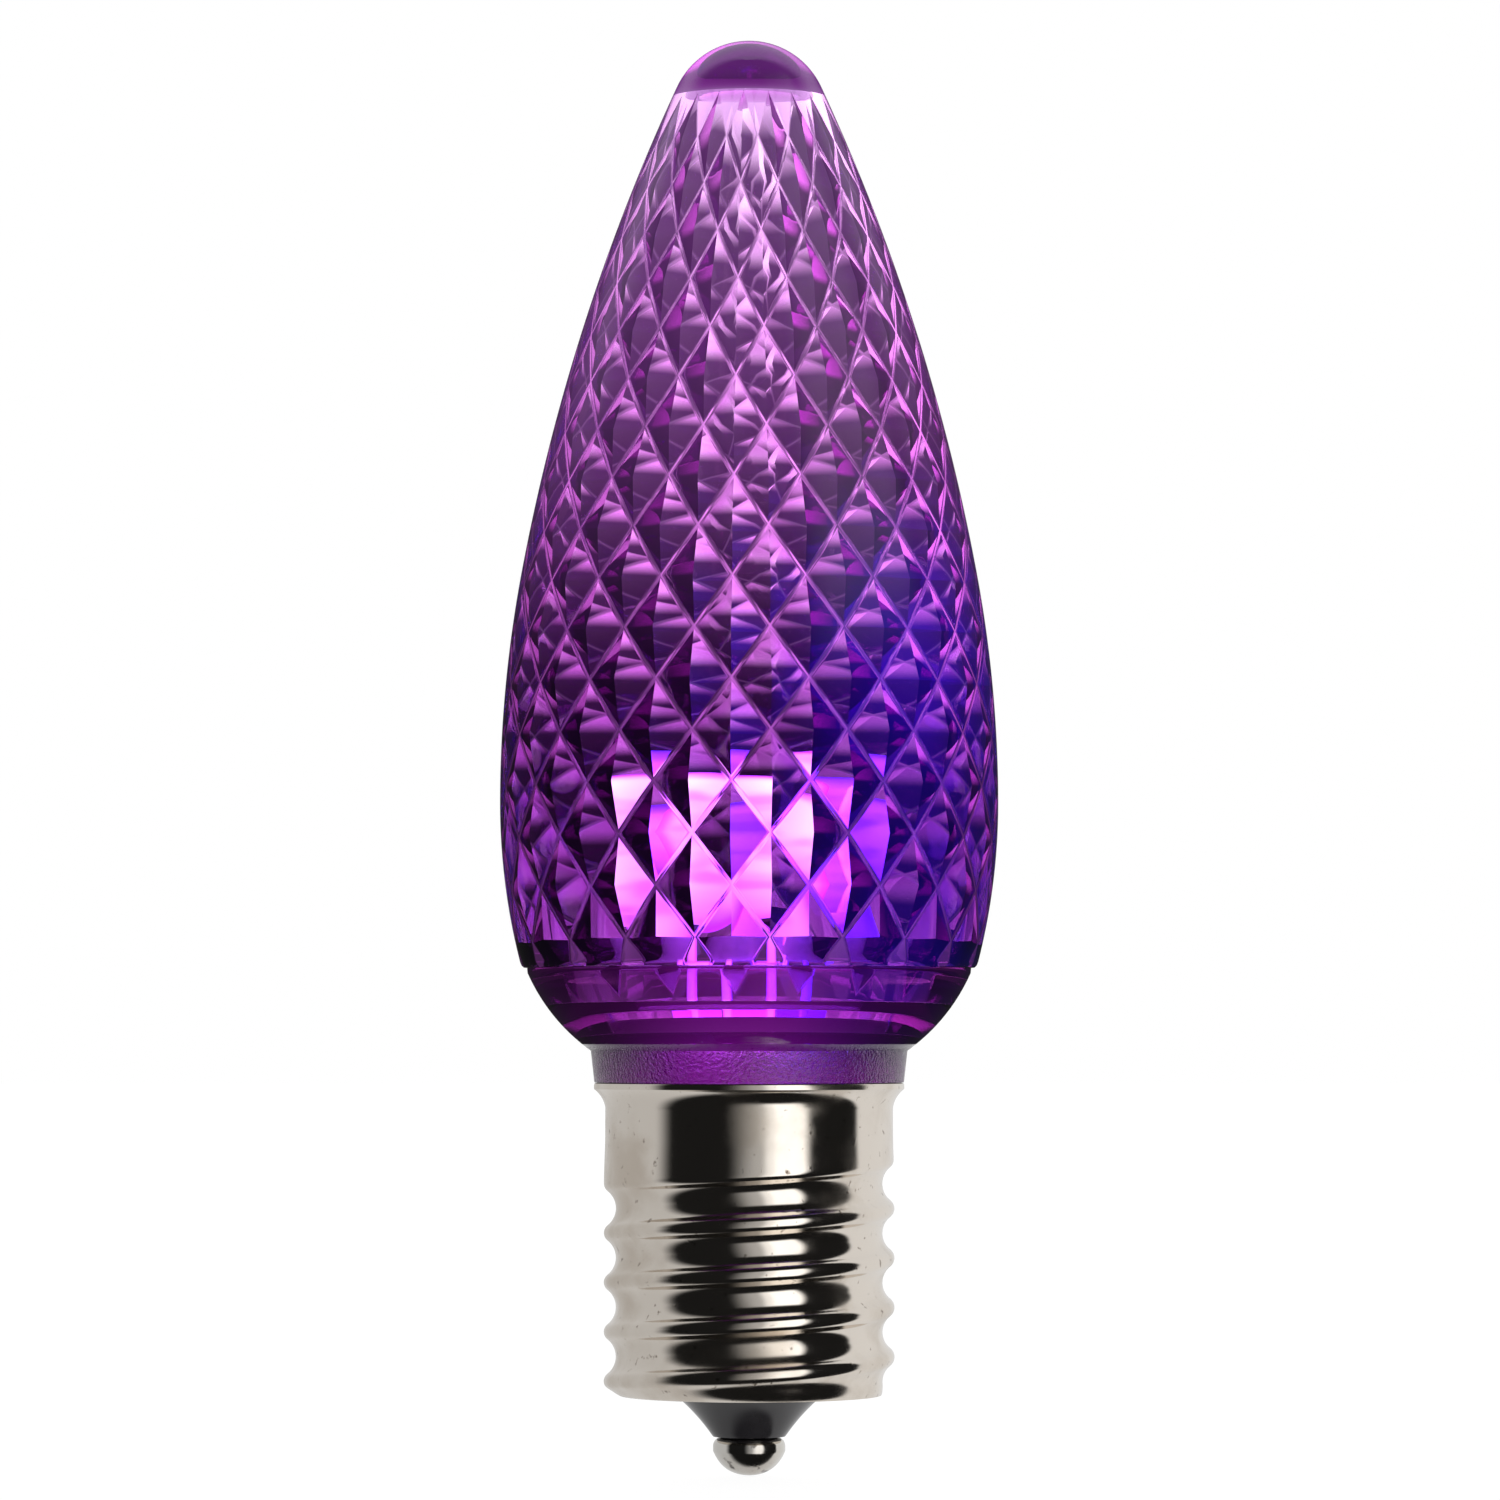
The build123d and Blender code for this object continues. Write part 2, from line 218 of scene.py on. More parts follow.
def make_piece(name: str, surface: Surface, slot: Slot, *nodes: str) -> Piece:
    """Mesh object from a surface, with doubles merged, that stands for CAD nodes.

    Args:
        name: Name of the piece.
        surface: Points and faces in millimetres.
        slot: Material slot of the record; not used.
        nodes: CAD nodes that the piece stands for.

    Returns:
        The object, riding on the bulb's only body.
    """
    mesh = bpy.data.meshes.new(name)
    faces = [face for block in surface.faces for face in block.tolist()]
    mesh.from_pydata((surface.points * MM).tolist(), [], faces)
    flat = np.concatenate([np.full(len(block), keep) for block, keep in zip(surface.faces, surface.flat)])
    mesh.polygons.foreach_set("use_smooth", ~flat)
    ridge = mesh.attributes.new(RIDGE, "FLOAT", "POINT")
    ridge.data.foreach_set("value", surface.ridge.astype(np.float32))
    work = bmesh.new()
    work.from_mesh(mesh)
    bmesh.ops.remove_doubles(work, verts=work.verts, dist=MERGE_DISTANCE * MM)
    bmesh.ops.dissolve_degenerate(work, edges=work.edges, dist=SLIVER_LENGTH * MM)
    bmesh.ops.recalc_face_normals(work, faces=work.faces)
    work.to_mesh(mesh)
    work.free()
    mesh.set_sharp_from_angle(angle=math.radians(SHARP_ANGLE))
    piece = bpy.data.objects.new(name, mesh)
    bpy.context.scene.collection.objects.link(piece)
    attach(piece, BODY)
    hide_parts(*nodes)
    LOG.info("%s: %d faces", name, len(mesh.polygons))
    return piece


def put_on(piece: Piece, material: Material) -> None:
    """Gives a piece its finish as its only material."""
    piece.data.materials.clear()
    piece.data.materials.append(material)
    LOG.info("%s wears %s", piece.name, material.name)


class Sheet:
    """A node tree with short ways to add nodes, set their sockets and link them."""

    def __init__(self, tree: bpy.types.NodeTree) -> None:
        """Keeps the tree and clears it."""
        self.tree = tree
        tree.nodes.clear()

    def add(self, kind: str, inputs: dict | None = None, **settings: object) -> bpy.types.Node:
        """Adds a node.

        Args:
            kind: Type of the node.
            inputs: Values or sockets for the node's inputs, by name or number.
            settings: Attributes of the node.

        Returns:
            The node.
        """
        node = self.tree.nodes.new(kind)
        for key, value in settings.items():
            setattr(node, key, value)
        for key, value in (inputs or {}).items():
            self.put(node, key, value)
        return node

    def put(self, node: bpy.types.Node, key: str | int, value: object) -> None:
        """Links a socket to an input, or sets the input's own value."""
        if isinstance(value, Socket):
            self.tree.links.new(value, node.inputs[key])
        else:
            node.inputs[key].default_value = value

    def math(self, operation: str, *values: object) -> Socket:
        """Result of a Math node with these values or sockets."""
        return self.add("ShaderNodeMath", dict(enumerate(values)), operation=operation).outputs[0]

    def product(self, first: object, *others: object) -> Socket:
        """All these values or sockets multiplied."""
        for value in others:
            first = self.math("MULTIPLY", first, value)
        return first

    def total(self, first: object, *others: object) -> Socket:
        """All these values or sockets added."""
        for value in others:
            first = self.math("ADD", first, value)
        return first

    def vector(self, operation: str, *values: object) -> Sockets:
        """Outputs of a Vector Math node with these values or sockets."""
        return self.add("ShaderNodeVectorMath", dict(enumerate(values)), operation=operation).outputs

    def dimmed(self, colour: object, level: Socket) -> Socket:
        """A colour times a level."""
        return self.add("ShaderNodeVectorMath", {0: colour, 3: level}, operation="SCALE").outputs[0]

    def parts(self, place: Socket) -> Sockets:
        """X, Y and Z of a place or a way."""
        return self.add("ShaderNodeSeparateXYZ", {0: place}).outputs

    def ease(self, value: Socket, low: float, high: float, first: float = 0.0, last: float = 1.0) -> Socket:
        """Value that runs smoothly from first to last as the input goes from low to high."""
        inputs = {"Value": value, "From Min": low, "From Max": high, "To Min": first, "To Max": last}
        return self.add("ShaderNodeMapRange", inputs, interpolation_type="SMOOTHSTEP").outputs["Result"]

    def window(self, value: Socket, opens: Span, closes: Span) -> Socket:
        """Value that is 1 between two eased ends and 0 outside them."""
        return self.product(self.ease(value, *opens), self.ease(value, *closes))

    def between(self, share: Socket, first: object, second: object) -> Socket:
        """Number between two others by a share."""
        inputs = {"Factor": share, **dict(zip(MIX_NUMBERS, (first, second)))}
        return self.add("ShaderNodeMix", inputs, data_type="FLOAT").outputs[0]

    def mix(self, share: Socket, first: Colour | Socket, second: Colour | Socket) -> Socket:
        """Colour between two others by a share."""
        node = self.add("ShaderNodeMix", {"Factor": share}, data_type="RGBA")
        for key, colour in zip(MIX_COLOURS, (first, second)):
            self.put(node, key, (*colour, 1) if isinstance(colour, tuple) else colour)
        return node.outputs[2]


@dataclass
class Effects:
    """Node groups that more than one finish uses, and the values that shape them."""

    speck_floor: float = 0.86
    speck_gain: float = 8.0
    speck_detail: float = 3.0
    patch_share: float = 0.12
    patch_detail: float = 5.0
    patch_range: Span = (0.42, 0.68)
    wave_detail: float = 1.0
    grain_detail: float = 2.0

    def __post_init__(self) -> None:
        """Builds the groups once."""
        self.speckle = self.build_speckle()
        self.flow = self.build_flow()

    @staticmethod
    def new_group(
        name: str, inputs: dict[str, float], outputs: list[str]
    ) -> tuple[Sheet, bpy.types.Node, bpy.types.Node]:
        """Empty shader node group that works on the piece's own coordinates.

        Args:
            name: Name of the group.
            inputs: Number inputs with their usual values.
            outputs: Names of the number outputs.

        Returns:
            The group's sheet, its input node and its output node.
        """
        tree = bpy.data.node_groups.new(name, "ShaderNodeTree")
        tree.interface.new_socket("Vector", in_out="INPUT", socket_type="NodeSocketVector")
        for key, value in inputs.items():
            socket = tree.interface.new_socket(key, in_out="INPUT", socket_type="NodeSocketFloat")
            socket.default_value = value
        for key in outputs:
            tree.interface.new_socket(key, in_out="OUTPUT", socket_type="NodeSocketFloat")
        sheet = Sheet(tree)
        return sheet, sheet.add("NodeGroupInput"), sheet.add("NodeGroupOutput")

    @staticmethod
    def noise(sheet: Sheet, place: Socket, scale: Socket, detail: float) -> Socket:
        """Noise at a scale."""
        inputs = {"Vector": place, "Scale": scale, "Detail": detail}
        return sheet.add("ShaderNodeTexNoise", inputs).outputs["Fac"]

    def build_speckle(self) -> bpy.types.NodeTree:
        """Small dark specks and broad worn patches: noise at a scale, cut by a threshold.

        Returns:
            The group.
        """
        usual = {"Scale": 2000.0, "Cover": 0.4}
        sheet, given, result = self.new_group("speckle", usual, ["Specks", "Patches"])
        place, scale, cover = (given.outputs[key] for key in ("Vector", "Scale", "Cover"))
        fine = self.noise(sheet, place, scale, self.speck_detail)
        above = sheet.math("SUBTRACT", fine, sheet.math("SUBTRACT", self.speck_floor, cover))
        specks = sheet.add("ShaderNodeClamp", {"Value": sheet.product(above, self.speck_gain)}).outputs[0]
        broad = self.noise(sheet, place, sheet.product(scale, self.patch_share), self.patch_detail)
        sheet.put(result, "Specks", specks)
        sheet.put(result, "Patches", sheet.ease(broad, *self.patch_range))
        return sheet.tree

    def build_flow(self) -> bpy.types.NodeTree:
        """Slow waves that cooling leaves in a moulded skin, and a fine grain over them.

        Returns:
            The group.
        """
        usual = {"Scale": 120.0, "Grain": 4000.0}
        sheet, given, result = self.new_group("moulding_flow", usual, ["Waves", "Grain"])
        place, scale, grain = (given.outputs[key] for key in ("Vector", "Scale", "Grain"))
        sheet.put(result, "Waves", self.noise(sheet, place, scale, self.wave_detail))
        sheet.put(result, "Grain", self.noise(sheet, place, grain, self.grain_detail))
        return sheet.tree


@dataclass(frozen=True)
class Finish:
    """What every finish shares: its name and the start of its material."""

    name: str

    def start(self) -> tuple[Material, Sheet, bpy.types.Node, Socket]:
        """New material with a Principled shader.

        Returns:
            The material, its sheet, the shader and the piece's own coordinates.
        """
        material = bpy.data.materials.new(self.name)
        material.use_nodes = True
        sheet = Sheet(material.node_tree)
        output = sheet.add("ShaderNodeOutputMaterial")
        shader = sheet.add("ShaderNodeBsdfPrincipled")
        sheet.put(output, "Surface", shader.outputs[0])
        place = sheet.add("ShaderNodeTexCoord").outputs["Object"]
        return material, sheet, shader, place

    def material(self, effects: Effects) -> Material:
        """Builds the finish's material, which each kind of finish does in its own way.

        Args:
            effects: The shared node groups.

        Returns:
            The material.
        """
        raise NotImplementedError

    @staticmethod
    def group(sheet: Sheet, tree: bpy.types.NodeTree, place: Socket, **values: float) -> Sockets:
        """Outputs of a shared effect in a material, with its own values."""
        return sheet.add("ShaderNodeGroup", {"Vector": place, **values}, node_tree=tree).outputs

    @staticmethod
    def dent(sheet: Sheet, shader: bpy.types.Node, height: Socket, strength: float, depth: float) -> None:
        """Roughens a shader's normal by a pattern, with a share of the effect and a depth in millimetres."""
        bump = sheet.add("ShaderNodeBump", {"Height": height, "Strength": strength, "Distance": depth * MM})
        sheet.put(shader, "Normal", bump.outputs[0])


@dataclass(frozen=True)
class VioletPlastic(Finish):
    """See-through violet plastic that swallows green light, with a painted glow where the lamps light it.

    Heights and distances are in millimetres. The painted glow goes from its left colour to its right one,
    which ends below a height, and dims towards both edges.
    """

    tint: Colour = (0.695, 0.19, 0.705)
    density: float = 600.0
    index: float = 1.585
    lamp_z: float = 37.0
    # Painted glow: emission that stands in for the lamps' light in the plastic.
    glow_left: Colour = (0.16, 0.015, 0.3)
    glow_right: Colour = (0.25, 0.03, 4.4)
    glow_level: float = 20.0
    right_x: float = 9.0
    right_top: float = 60.0
    right_foot: float = 44.0
    spread_share: float = 0.4
    wide_beam: float = 2.5
    wide_power: float = 2.0
    narrow_beam: float = 8.0
    narrow_power: float = 30.0
    middle_x: float = 9.0
    edge_x: float = 12.0
    edge_share: float = 0.2

    def painted_lamp_glow(self, sheet: Sheet, place: Socket) -> Socket:
        """Painted glow by how squarely a facet faces the lamps, over the distance squared, more along the
        beam.

        Args:
            sheet: The material's sheet.
            place: The piece's own coordinates.

        Returns:
            The painted glow's colour.
        """
        geometry = sheet.add("ShaderNodeNewGeometry").outputs
        way = sheet.vector("SUBTRACT", (0, 0, self.lamp_z * MM), place)[0]
        far = sheet.product(sheet.vector("LENGTH", way)["Value"], 1 / MM)
        unit = sheet.vector("NORMALIZE", way)[0]
        facing = sheet.vector("DOT_PRODUCT", geometry["True Normal"], unit)["Value"]
        flip = sheet.math("SUBTRACT", 1.0, sheet.product(geometry["Backfacing"], 2.0))
        lit = sheet.math("MAXIMUM", sheet.product(facing, flip), 0.0)
        upward = sheet.math("MAXIMUM", sheet.product(sheet.parts(unit)["Z"], -1.0), 0.0)
        wide = sheet.product(sheet.math("POWER", upward, self.wide_power), self.wide_beam)
        narrow = sheet.product(sheet.math("POWER", upward, self.narrow_power), self.narrow_beam)
        beam = sheet.total(wide, narrow, self.spread_share)
        # Painted light: the emission's level follows facing, distance squared and beam.
        level = sheet.math("DIVIDE", sheet.product(lit, beam, self.glow_level), sheet.product(far, far))
        spot = sheet.parts(place)
        aside = sheet.math("ABSOLUTE", spot["X"])
        # The painted glow dims towards the sides and turns to its right colour on the right, below a height.
        middle = sheet.ease(aside, self.middle_x * MM, self.edge_x * MM, 1.0, self.edge_share)
        low = sheet.ease(spot["Z"], self.right_top * MM, self.right_foot * MM)
        right = sheet.product(sheet.ease(spot["X"], 0.0, self.right_x * MM), low)
        return sheet.dimmed(sheet.mix(right, self.glow_left, self.glow_right), sheet.product(level, middle))

    def glass(self, glow: Socket, sheet: Sheet, shader: bpy.types.Node) -> None:
        """Sets what makes a shader violet glass with a painted glow.

        Args:
            glow: Colour of the painted glow.
            sheet: The material's sheet.
            shader: The shader.
        """
        sheet.put(shader, "Emission Color", glow)
        sheet.put(shader, "Emission Strength", 1.0)
        sheet.put(shader, "IOR", self.index)
        sheet.put(shader, "Transmission Weight", 1.0)
        inside = sheet.add("ShaderNodeVolumeAbsorption", {"Color": (*self.tint, 1), "Density": self.density})
        output = next(node for node in sheet.tree.nodes if node.type == "OUTPUT_MATERIAL")
        sheet.put(output, "Volume", inside.outputs[0])


@dataclass(frozen=True)
class ClearViolet(VioletPlastic):
    """The lens's plastic, deeper at the belly, with painted light along its ridges, in its crown and in its
    tip.
    """

    deep: Colour = (0.54, 0.4, 0.64)
    clear: Colour = (0.99, 0.96, 1.0)
    deep_foot: float = 36.0
    clear_top: float = 55.0
    # Colours of painted light: emission along the ridge tops, in the crown and in the tip.
    ridge_light: Colour = (0.17, 0.12, 0.19)
    crown_light: Colour = (0.025, 0.011, 0.033)
    crown_foot: float = 42.0
    crown_top: float = 64.0
    tip_light: Colour = (0.055, 0.004, 0.085)
    tip_foot: float = 78.5
    tip_top: float = 80.5
    wave_scale: float = 90.0
    wave_range: Span = (0.3, 0.6)
    wave_shade: float = 0.9
    wave_strength: float = 0.03
    wave_depth: float = 0.3

    def painted_light(self, sheet: Sheet, place: Socket) -> Socket:
        """Painted glow of the lamps plus painted light that the ridges, the crown and the tip guide.

        Args:
            sheet: The material's sheet.
            place: The piece's own coordinates.

        Returns:
            The painted glow's colour.
        """
        height = sheet.parts(place)["Z"]
        ridge = sheet.add("ShaderNodeAttribute", attribute_name=RIDGE).outputs["Fac"]
        crown = sheet.ease(height, self.crown_foot * MM, self.crown_top * MM)
        tip = sheet.ease(height, self.tip_foot * MM, self.tip_top * MM)
        glow = self.painted_lamp_glow(sheet, place)
        # Painted light along the ridges, in the tip and in the crown, added to the painted glow.
        for light, level in ((self.ridge_light, ridge), (self.tip_light, tip), (self.crown_light, crown)):
            glow = sheet.vector("ADD", glow, sheet.dimmed(light, level))[0]
        return glow

    def material(self, effects: Effects) -> Material:
        """Principled glass with absorption, slow moulding waves and the lamps' painted glow."""
        material, sheet, shader, place = self.start()
        # The painted glow and the painted light go into the emission.
        self.glass(self.painted_light(sheet, place), sheet, shader)
        waves = self.group(sheet, effects.flow, place, Scale=self.wave_scale)["Waves"]
        thin = sheet.ease(sheet.parts(place)["Z"], self.deep_foot * MM, self.clear_top * MM)
        shade = sheet.product(thin, sheet.ease(waves, *self.wave_range, self.wave_shade, 1.0))
        sheet.put(shader, "Base Color", sheet.mix(shade, self.deep, self.clear))
        sheet.put(shader, "Roughness", 0.0)
        self.dent(sheet, shader, waves, self.wave_strength, self.wave_depth)
        return material


@dataclass(frozen=True)
class FrostedViolet(VioletPlastic):
    """The collar's plastic, clear above a height and frosted with a sparkling grain below it, with a painted
    glow.
    """

    density: float = 1200.0
    lamp_z: float = 30.0
    # Painted glow of the collar: emission brightest in its middle and dimmer towards its sides.
    glow_left: Colour = (0.75, 0.1, 1.0)
    glow_right: Colour = (0.5, 0.06, 1.2)
    glow_level: float = 46.0
    middle_x: float = 1.0
    edge_x: float = 8.5
    edge_share: float = 0.25
    frost_top: float = 24.7
    frost_foot: float = 24.2
    frost_rough: float = 0.2
    shade: Colour = (0.96, 0.92, 0.98)
    sparkle: Colour = (0.99, 0.96, 1.0)
    grain_scale: float = 5500.0
    grain_strength: float = 0.8
    grain_depth: float = 0.12

    def material(self, effects: Effects) -> Material:
        """Principled glass whose roughness and grain follow the height, with the lamps' painted glow."""
        material, sheet, shader, place = self.start()
        # The painted glow from the lamps goes into the emission.
        self.glass(self.painted_lamp_glow(sheet, place), sheet, shader)
        frost = sheet.ease(sheet.parts(place)["Z"], self.frost_top * MM, self.frost_foot * MM)
        grain = sheet.product(self.group(sheet, effects.flow, place, Grain=self.grain_scale)["Grain"], frost)
        sheet.put(shader, "Base Color", sheet.mix(grain, self.shade, self.sparkle))
        sheet.put(shader, "Roughness", sheet.ease(frost, 0.0, 1.0, 0.0, self.frost_rough))
        self.dent(sheet, shader, grain, self.grain_strength, self.grain_depth)
        return material


@dataclass(frozen=True)
class Plate(Finish):
    """Bright metal with dull patches and dark specks."""

    bright: Colour = (0.75, 0.69, 0.62)
    worn: Colour = (0.62, 0.55, 0.47)
    speck: Colour = (0.16, 0.12, 0.09)
    smooth: float = 0.1
    dull: float = 0.24
    scale: float = 1800.0
    cover: float = 0.2
    dents: float = 0.15
    dent_depth: float = 0.02

    def material(self, effects: Effects) -> Material:
        """Metal whose colour, roughness and small dents follow specks and patches."""
        material, sheet, shader, place = self.start()
        wear = self.group(sheet, effects.speckle, place, Scale=self.scale, Cover=self.cover)
        plated = sheet.mix(wear["Patches"], self.bright, self.worn)
        sheet.put(shader, "Base Color", sheet.mix(wear["Specks"], plated, self.speck))
        sheet.put(shader, "Metallic", 1.0)
        sheet.put(shader, "Roughness", sheet.ease(wear["Patches"], 0.0, 1.0, self.smooth, self.dull))
        self.dent(sheet, shader, sheet.total(wear["Patches"], wear["Specks"]), self.dents, self.dent_depth)
        return material


@dataclass(frozen=True)
class Moulding(Finish):
    """Opaque moulded plastic or lacquer with a faint mottle."""

    colour: Colour = (0.012, 0.011, 0.013)
    mottle: Colour = (0.03, 0.028, 0.03)
    smooth: float = 0.12
    dull: float = 0.3
    scale: float = 900.0
    dust_cover: float = 0.22
    wave_scale: float = 400.0
    wave_strength: float = 0.1
    wave_depth: float = 0.05

    def material(self, effects: Effects) -> Material:
        """Plastic whose colour and roughness follow patches, with specks of dust."""
        material, sheet, shader, place = self.start()
        wear = self.group(sheet, effects.speckle, place, Scale=self.scale, Cover=self.dust_cover)
        sheet.put(shader, "Base Color", sheet.mix(wear["Patches"], self.colour, self.mottle))
        sheet.put(shader, "Roughness", sheet.ease(wear["Specks"], 0.0, 1.0, self.smooth, self.dull))
        waves = self.group(sheet, effects.flow, place, Scale=self.wave_scale)["Waves"]
        self.dent(sheet, shader, waves, self.wave_strength, self.wave_depth)
        return material


@dataclass(frozen=True)
class LitResin(Finish):
    """Clear resin of a small lamp, lit from inside and brightest along its middle and near its top."""

    colour: Colour = (0.3, 0.03, 0.6)
    core: Colour = (1.0, 0.8, 0.95)
    strength: float = 6.5
    foot_z: float = 30.5
    top_z: float = 39.5
    foot_share: float = 0.25
    rim: Span = (0.75, 0.1)
    wave_scale: float = 600.0
    wave_range: Span = (0.3, 0.6)
    wave_share: float = 0.4
    resin_dark: Colour = (0.5, 0.25, 0.8)
    resin_light: Colour = (0.7, 0.4, 0.95)
    roughness: float = 0.15

    def material(self, effects: Effects) -> Material:
        """Resin whose emission runs from the rim's colour to the core's by height, facing and slow waves."""
        material, sheet, shader, place = self.start()
        waves = self.group(sheet, effects.flow, place, Scale=self.wave_scale)["Waves"]
        facing = sheet.add("ShaderNodeLayerWeight", {"Blend": 0.5}).outputs["Facing"]
        rise = sheet.ease(sheet.parts(place)["Z"], self.foot_z * MM, self.top_z * MM, self.foot_share, 1.0)
        streaks = sheet.ease(waves, *self.wave_range, self.wave_share, 1.0)
        glow = sheet.product(rise, sheet.ease(facing, *self.rim), streaks)
        sheet.put(shader, "Base Color", sheet.mix(waves, self.resin_dark, self.resin_light))
        sheet.put(shader, "Emission Color", sheet.mix(glow, self.colour, self.core))
        sheet.put(shader, "Emission Strength", self.strength)
        sheet.put(shader, "Roughness", self.roughness)
        return material


class OnePiece:
    """A sub-assembly that is one piece with one finish."""

    finish: Finish

    def build(self) -> Piece:
        """Builds the piece, which each sub-assembly does in its own way."""
        raise NotImplementedError

    def dress(self, piece: Piece, effects: Effects) -> None:
        """Gives the piece its finish."""
        put_on(piece, self.finish.material(effects))


@dataclass
class FacetedLens(OnePiece):
    """Tall lens: smooth outside, ridges and pits on its inner wall, and a spigot. Millimetres."""

    radius: float = 14.3
    widest_z: float = 38.5
    belly_arc: float = 36.8
    flank_arc: float = 72.3
    flank_top_z: float = 51.5
    shoulder_arc: float = 118.5
    nose_arc: float = 4.6
    seam_z: float = 29.0
    seam_edge: float = 0.12
    columns: int = 18
    rows: int = 18
    net_foot_z: float = 27.9
    net_wall: float = 2.4
    nose_wall: float = 3.44
    net_turn: float = 5.5
    facet_slope: float = 0.6
    ridge_share: float = 0.1
    ridge_steps: int = 6
    spigot_radius: float = 11.1
    spigot_z: float = 27.2
    mouth_radius: float = 9.3
    nose_rows: int = 24
    shoulder_rows: int = 60
    flank_rows: int = 40
    belly_rows: int = 30
    round_columns: int = 216
    finish: ClearViolet = ClearViolet("clear_violet_lens")

    def __post_init__(self) -> None:
        """Works out where the outline's arcs meet."""
        self.flank_x = self.radius - self.flank_arc
        self.belly_x = self.radius - self.belly_arc
        inward = self.flank_arc - self.shoulder_arc
        self.flank_angle = math.asin((self.flank_top_z - self.widest_z) / self.flank_arc)
        self.shoulder_x = self.flank_x + inward * math.cos(self.flank_angle)
        self.shoulder_z = self.widest_z + inward * math.sin(self.flank_angle)
        outward = self.shoulder_arc - self.nose_arc
        self.nose_z = self.shoulder_z + math.sqrt(outward**2 - self.shoulder_x**2)
        self.nose_angle = math.atan2(self.nose_z - self.shoulder_z, -self.shoulder_x)
        self.belly_angle = math.asin((self.widest_z - self.seam_z) / self.belly_arc)
        self.half_row = (self.nose_z + self.nose_arc - self.nose_wall - self.net_foot_z) / self.rows

    def outline(self) -> np.ndarray:
        """Outer profile from the tip down to the spigot's end: four arcs and a step.

        Returns:
            Array of radius and height, one row a point.
        """
        turns = (self.nose_angle, self.flank_angle)
        nose = arc((0, self.nose_z), self.nose_arc, math.pi / 2, self.nose_angle, self.nose_rows)
        shoulder = arc((self.shoulder_x, self.shoulder_z), self.shoulder_arc, *turns, self.shoulder_rows)
        flank = arc((self.flank_x, self.widest_z), self.flank_arc, self.flank_angle, 0, self.flank_rows)
        belly = arc((self.belly_x, self.widest_z), self.belly_arc, 0, -self.belly_angle, self.belly_rows)
        edge = (belly[-1, 0] - self.seam_edge, self.seam_z)
        step = np.array([edge, (self.spigot_radius, self.seam_z), (self.spigot_radius, self.spigot_z)])
        belly[-1, 1] += self.seam_edge
        return np.vstack([nose, shoulder[1:], flank[1:], belly[1:], step])

    def inner_radius(self, heights: np.ndarray) -> np.ndarray:
        """Radius of the net: a fixed share of the outline's, so that the wall thins with the radius.

        Args:
            heights: Heights to look at.

        Returns:
            Radius at each height.
        """
        rise = heights - self.widest_z
        belly = self.belly_x + np.sqrt(self.belly_arc**2 - np.minimum(rise, 0) ** 2)
        flank = self.flank_x + np.sqrt(self.flank_arc**2 - rise**2)
        shoulder = self.shoulder_x + np.sqrt(self.shoulder_arc**2 - (heights - self.shoulder_z) ** 2)
        outline = np.where(rise < 0, belly, np.where(heights < self.flank_top_z, flank, shoulder))
        return outline * (1 - self.net_wall / self.radius)

    def easing(self, radii: np.ndarray) -> np.ndarray:
        """How far the rounding of a ridge takes its top away from the axis."""
        return self.facet_slope * radii * math.sin(math.pi / self.columns) * self.ridge_share / 2

    def ring(self, radii: np.ndarray, heights: np.ndarray, shift: np.ndarray) -> np.ndarray:
        """Points of net rings: radius times cosine and sine of evenly spaced angles, and the height.

        Args:
            radii: Radius of each ring.
            heights: Height of each ring.
            shift: Share of a column by which each ring is turned.

        Returns:
            Array of points, one row a ring.
        """
        step = 2 * math.pi / self.columns
        angles = (np.arange(self.columns)[None, :] + shift[:, None]) * step + math.radians(self.net_turn)
        spread = radii[:, None]
        rise = np.broadcast_to(heights[:, None], angles.shape)
        return np.stack([spread * np.cos(angles), spread * np.sin(angles), rise], axis=-1)

    def facets(self) -> Surface:
        """Inner wall: each diamond of the net is a pit of four flat facets, deepest in its middle.

        Returns:
            The facets, the plain ends of the net and the mouth's wall.
        """
        numbers = np.arange(self.rows + 1)
        heights = self.net_foot_z + self.half_row * numbers
        plain = np.where(numbers == 0, self.mouth_radius, self.inner_radius(heights))
        shift = numbers % 2 / 2
        nodes = self.ring(plain + self.easing(plain), heights, shift)
        bare = self.ring(plain, heights, shift)
        half_turn = math.pi / self.columns
        level = plain[1:-1] * math.cos(half_turn) / 2 + (plain[:-2] + plain[2:]) / 4
        deepest = level + self.facet_slope * plain[1:-1] * math.sin(half_turn)
        pits = self.ring(deepest, heights[1:-1], shift[1:-1] + 0.5)
        ring = numbers[1:-1, None]
        column = np.arange(self.columns)[None, :]
        side = (column + ring % 2) % self.columns
        beside = (column + 1) % self.columns
        around = [(ring, column), (ring + 1, side), (ring, beside), (ring - 1, side), (ring, column)]
        surface = Surface(np.zeros((0, 3)), [], [])
        for first, second in zip(around, around[1:]):
            surface = surface.joined(self.one_side(pits, np.stack([bare[first], bare[second]], axis=2)))
        return surface.joined(self.net_ends(nodes)).joined(self.mouth(nodes[0]))

